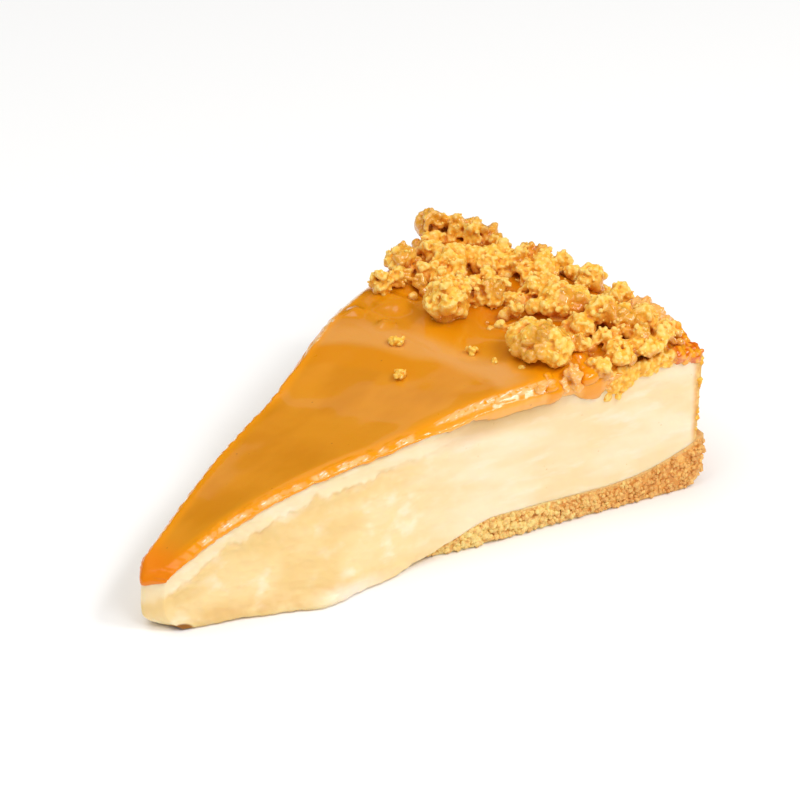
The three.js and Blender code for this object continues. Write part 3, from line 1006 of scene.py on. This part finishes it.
def fused(bms, voxel):
    """One skin round everything, on a grid of that size."""
    scratch = mesh_of("fusing", joined(bms))
    holder = placed("fusing", scratch)
    skin = holder.modifiers.new("skin", "REMESH")
    skin.mode = "VOXEL"
    skin.voxel_size = voxel
    result = bmesh.new()
    result.from_object(holder, bpy.context.evaluated_depsgraph_get())
    bpy.data.objects.remove(holder)
    bpy.data.meshes.remove(scratch)
    return result


def domes(place, size):
    """Rounded bumps of about that size, with sharp seams between them: from 1 on a bump down to 0."""
    nearest = noise.voronoi(place / size)[0][0]
    return 1 - min(nearest, 1) ** 2


def coated_mark(place):
    """1 where caramel has run over the crumbs and filled the seams between them."""
    return ease(noise.noise(place / 6 + Vector((2, 5, 1))), 0.14, 0.34)


def crumb_relief(place, normal):
    warped = place + 0.45 * noise.noise_vector(place / 1.5)
    rough = 1 - 0.75 * coated_mark(place)
    bumps = 0.26 * (domes(warped, 1.7) - 0.7) + 0.32 * (domes(warped, 0.95) - 0.7)
    return rough * bumps + 0.2 * noise.noise(place / 1.4)


def openness(bm):
    """The share of the ways out of each vertex that are clear; the streusel is painted darker as shade where
    few are.
    """
    tree = BVHTree.FromBMesh(bm)
    dice = random.Random(SEEDS["openness"])
    ways = [any_way(dice) for _ in range(OPEN_WAYS["count"])]
    layer = bm.verts.layers.float.new("open")
    for vert in bm.verts:
        start = vert.co + vert.normal * OPEN_WAYS["start"]
        clear = 0
        for way in ways:
            if way.dot(vert.normal) < 0:
                way = -way
            clear += tree.ray_cast(start, way, OPEN_WAYS["reach"])[0] is None
        vert[layer] = clear / len(ways)


def cavity(bm):
    """How far each vertex stands out of a smoothed copy, in millimetres: below 0 in the crevices."""
    smooth = bm.copy()
    soften(smooth, smooth.verts, SOFTENING["cavity"])
    bm.normal_update()
    layer = bm.verts.layers.float.new("relief")
    for vert, soft in zip(bm.verts, smooth.verts):
        vert[layer] = (vert.co - soft.co).dot(vert.normal)
    smooth.free()


def above_glaze_mark(place):
    return -below_top_mark(place)


def clump_middle(radius, across, height, stacked):
    z = glaze_top(radius, across) + CLEARANCE + 0.34 * height + stacked
    return on_slice(radius, across, z)


def bed_front(across):
    front = BED["from"] + BED_EDGE["wave"] * math.sin(BED_EDGE["waves"] * across)
    return front + BED_EDGE["corner"] * ease(abs(across), BED_EDGE["corner_from"], 1)


def bed_crumbs(dice, lowest, highest):
    """The low layer between the clumps, for one stretch across the slice."""
    bm = bmesh.new()
    count, *sizes = BED_CRUMBS["low"]
    for _ in range(count):
        across = dice.uniform(lowest, highest)
        radius = dice.uniform(bed_front(across) + 1, BED["to"])
        size = dice.uniform(*sizes)
        z = glaze_top(radius, across) + dice.uniform(0.1, 0.5) * size
        add_ball(bm, "plain", on_slice(radius, across, z), spread(size, dice, 0.8, 1.2), dice)
    lumps = [bm]
    count, *sizes = BED_CRUMBS["strewn"]
    for _ in range(count):
        across = dice.uniform(lowest, highest)
        radius = dice.uniform(bed_front(across) + 2, BED["to"])
        size = dice.uniform(*sizes)
        z = glaze_top(radius, across) + dice.uniform(0.4, 0.9) * size
        lumps.append(clump(on_slice(radius, across, z), size, size, dice))
    return lumps


def grains(places, dice):
    """Loose crumbs, each a few faces, half sunk at its place. A place is a point and a size."""
    batches = []
    for first in range(0, len(places), GRAIN_BATCH):
        bm = bmesh.new()
        for middle, size in places[first:first + GRAIN_BATCH]:
            add_ball(bm, "rough", middle, spread(size, dice, 0.7, 1.3), dice)
        batches.append(bm)
    return joined(batches)


def perches(bm, dice):
    """Places on a mesh for loose grains, most of them on its upper sides."""
    found = []
    count, *sizes = LOOSE_GRAINS
    verts = list(bm.verts)
    while len(found) < count:
        vert = dice.choice(verts)
        if vert.normal.z > dice.uniform(-0.8, 0.6):
            found.append((vert.co + vert.normal * 0.1, dice.uniform(*sizes)))
    return found


def bare_of_crumbs(radius, across):
    """Whether the rim is left bare there, because glaze has run over it."""
    return radius > 124 and any(abs(across - middle) < 0.8 * half for middle, half, _ in TONGUES)


def browned_mark(place):
    """1 on the rim's browned corner."""
    radius, across = polar(place)
    across += 0.05 * noise.noise(place / 2)
    return ease(radius, *BROWNED["outer"]) * (1 - ease(across, *BROWNED["across"]))


def rim_crust(dice):
    """The crumb crust along the rim's upper corners and its edge. It is thickest next to the glaze's end."""
    bm = bmesh.new()
    count, *sizes = RIM_CRUMBS["crust"]
    for _ in range(count):
        side = SHOWN if dice.random() < 0.6 else HIDDEN
        across = side * (1 - 0.16 * dice.random() ** 2)
        radius = lerp(GLAZE_END[side] - 3, CAKE_RADIUS - 0.6, dice.random() ** 1.3)
        deepest = 2.2 + 3.2 * (1 - ease(radius, GLAZE_END[side] - 1, GLAZE_END[side] + 5))
        size = lerp(*sizes, dice.random() ** 1.5)
        z = filling_top(radius, across) + 0.2 - dice.random() ** 1.3 * deepest
        if not bare_of_crumbs(radius, across):
            out = abs(across) ** 4 * CUT_OFFSET[side] + dice.uniform(-0.25, 0.15) * size
            add_ball(bm, "rough", on_slice(radius, across, z, out), spread(size, dice, 0.7, 1.4), dice)
    count, *sizes = RIM_CRUMBS["edge"]
    for _ in range(count):
        across = dice.uniform(-1, 1)
        radius = dice.uniform(BED["to"] - 2, CAKE_RADIUS - 0.2)
        size = dice.uniform(*sizes)
        if not bare_of_crumbs(radius, across):
            swell = BROWNED["swell"] * bell(across, BROWNED["middle"], 0.13) * dice.random()
            place = on_slice(radius, across, filling_top(radius, across) + 0.1 + swell)
            add_ball(bm, "rough", place, spread(size, dice, 0.7, 1.4), dice)
    return bm


def wall_crumbs(dice):
    """Crumbs stuck to the outer wall, fewer towards its foot."""
    places = []
    count, *sizes = RIM_CRUMBS["wall"]
    for _ in range(count):
        across = dice.uniform(-1, 1)
        down = dice.random() ** 1.1
        z = lerp(filling_top(CAKE_RADIUS, across) - 0.6, base_top(CAKE_RADIUS), down)
        radius = CAKE_RADIUS - RIM_LEAN * down
        size = lerp(*sizes, dice.random() ** 2)
        places.append((on_slice(radius - 0.05 * size, across, z), size))
    return places


def caramel_drips():
    """Caramel that ran down over the shown edge of the heap: for each drip, flat balls along its way."""
    bm = bmesh.new()
    turn = Matrix.Rotation(-HALF_SLICE, 4, "Z")
    for radius, across, width, above, below in HEAP_DRIPS:
        for step in range(DRIP_STEPS + 1):
            share = step / DRIP_STEPS
            over = ease(share, 0.1, 0.4)
            z = glaze_top(radius, SHOWN) + lerp(above, -below, share**0.8)
            sunk = ease(share, 0.45, 1)
            out = over * (CUT_OFFSET[SHOWN] + lerp(0.8, -0.1, sunk) * GLAZE_LIP[SHOWN])
            place = on_slice(radius - share + 0.2 * math.sin(9 * share), lerp(across, SHOWN, over), z, out)
            widths = (lerp(0.8, 1.1, share), lerp(0.6, 0.36, share), lerp(0.6, 0.4, share))
            put_ball(bm, "fine", place, [width * part for part in widths], turn)
    bm = fused([bm], VOXELS["drips"])
    soften(bm, bm.verts, SOFTENING["drips"])
    return bm


def coated_lumps():
    """Crumbs on the shown edge and the rim that the caramel has run over, with their seams half filled."""
    dice = random.Random(SEEDS["coated"])
    lumps = []
    for radius, out, below, size in COATED_LUMPS:
        middle = on_slice(radius, SHOWN, glaze_top(radius, SHOWN) - below, out)
        lumps.append(clump(middle, size, size, dice))
    for radius, across, size, above in RIM_LUMPS:
        middle = on_slice(radius, across, glaze_top(radius, across) + above)
        lumps.append(clump(middle, size, 0.7 * size, dice))
    bm = fused(lumps, VOXELS["coated"])
    soften(bm, bm.verts, 1)
    relieve(bm, lambda place, normal: 0.5 * crumb_relief(place, normal))
    return bm


def streusel_piece(name, bm, streusel, marks):
    cavity(bm)
    openness(bm)
    return finish_piece(name, bm, streusel, marks)


ON_GLAZE = {"above_glaze": above_glaze_mark, "coated": coated_mark, "browned": 0}
OFF_GLAZE = {"above_glaze": 3, "coated": 0, "browned": 0}


def make_streusel(streusel):
    dice = random.Random(SEEDS["heap"])
    stretches = {"streusel_front": (-BED["across"], 0.05), "streusel_back": (0.05, BED["across"])}
    loose = []
    for name, (lowest, highest) in stretches.items():
        lumps = bed_crumbs(dice, lowest, highest)
        for radius, across, width, height, stacked in CLUMPS:
            if lowest <= clamp(across, -BED["across"], BED["across"]) < highest + 0.001:
                lumps.append(clump(clump_middle(radius, across, height, stacked), width, height, dice))
        bm = fused(lumps, VOXELS["heap"])
        relieve(bm, crumb_relief)
        loose += perches(bm, dice)
        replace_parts(streusel_piece(name, bm, streusel, ON_GLAZE), "streusel_heap")
    bare = {**OFF_GLAZE, "open": 1}
    # the fixed relief gives the loose grains their painted highlight
    finish_piece("streusel_grains", grains(loose, dice), streusel, {**bare, "relief": 0.12})
    baked = {**bare, "relief": lambda place: 0.25 * noise.noise(place / 2.5)}
    finish_piece("rim_crumbs", grains(wall_crumbs(dice), dice), streusel, baked)
    bm = fused([rim_crust(dice)], VOXELS["crust"])
    relieve(bm, lambda place, normal: crumb_relief(place, normal) * (1 - 0.6 * browned_mark(place)))
    streusel_piece("rim_crust", bm, streusel, {**OFF_GLAZE, "browned": browned_mark})
    strays = []
    for radius, across, size in STRAY_CRUMBS + TINY_CRUMBS:
        middle = on_slice(radius, across, glaze_top(radius, across) + 0.2 * size)
        strays.append(clump(middle, size, size * 0.8, dice))
    bm = fused(strays, VOXELS["strays"])
    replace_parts(streusel_piece("streusel_strays", bm, streusel, OFF_GLAZE), "caramel_glaze")


def make_drips(caramel):
    run = {**GLAZE_MARKS, "crest": 0, "bed": 0, "lip": 0.9, "below_top": 0}
    finish_piece("caramel_drips", caramel_drips(), caramel, run)
    # the coated lumps take part of the painted highlight colour
    pale = {**run, "glint": 0.4, "drip": 0, "lip": 0.3, "hollow": 0, "below_top": 2}
    finish_piece("crumbs_coated", coated_lumps(), caramel, pale)


def make_floor():
    bm = bmesh.new()
    bmesh.ops.create_grid(bm, x_segments=1, y_segments=1, size=FLOOR["half"])
    floor = placed("floor", mesh_of("floor", bm))
    paper = Finish("floor", Base_Color=(0.97, 0.97, 0.97, 1), Roughness=0.9, Specular_IOR_Level=0)
    floor.data.materials.append(paper.material)
    floor.location.z = -FLOOR["below"]


def make_light(name, way, distance, size, power):
    data = bpy.data.lights.new(name, "AREA")
    data.shape = "RECTANGLE"
    data.size, data.size_y = size
    data.energy = power
    light = placed(name, data)
    way = Vector(way).normalized()
    light.location = way * distance
    light.rotation_euler = way.to_track_quat("Z", "Y").to_euler()


def make_studio():
    make_floor()
    world = bpy.data.worlds.new("studio")
    world.use_nodes = True
    background = world.node_tree.nodes["Background"]
    background.inputs["Color"].default_value = (1, 0.99, 0.97, 1)
    background.inputs["Strength"].default_value = WORLD_STRENGTH
    world.cycles_visibility.glossy = False
    bpy.context.scene.world = world
    for name, light in LIGHTS.items():
        make_light(name, *light)
    bpy.context.scene.view_settings.view_transform = "Standard"


def make_camera():
    azimuth = math.radians(VIEW["azimuth"])
    elevation = math.radians(VIEW["elevation"])
    back = Vector((
        math.sin(azimuth) * math.cos(elevation),
        -math.cos(azimuth) * math.cos(elevation),
        math.sin(elevation),
    ))
    data = bpy.data.cameras.new("camera")
    data.lens = VIEW["lens"]
    data.sensor_width = 36
    camera = placed("camera", data)
    camera.location = (Vector(VIEW["target"]) + back * VIEW["distance"]) * MM
    camera.rotation_euler = back.to_track_quat("Z", "Y").to_euler()
    bpy.context.scene.camera = camera


noise.seed_set(SEEDS["noise"])  # or noise_vector would differ from run to run
make_camera()
make_studio()
make_base(biscuit_finish())
make_filling()
caramel = caramel_finish()
make_glaze(caramel)
make_drips(caramel)
make_streusel(streusel_finish())
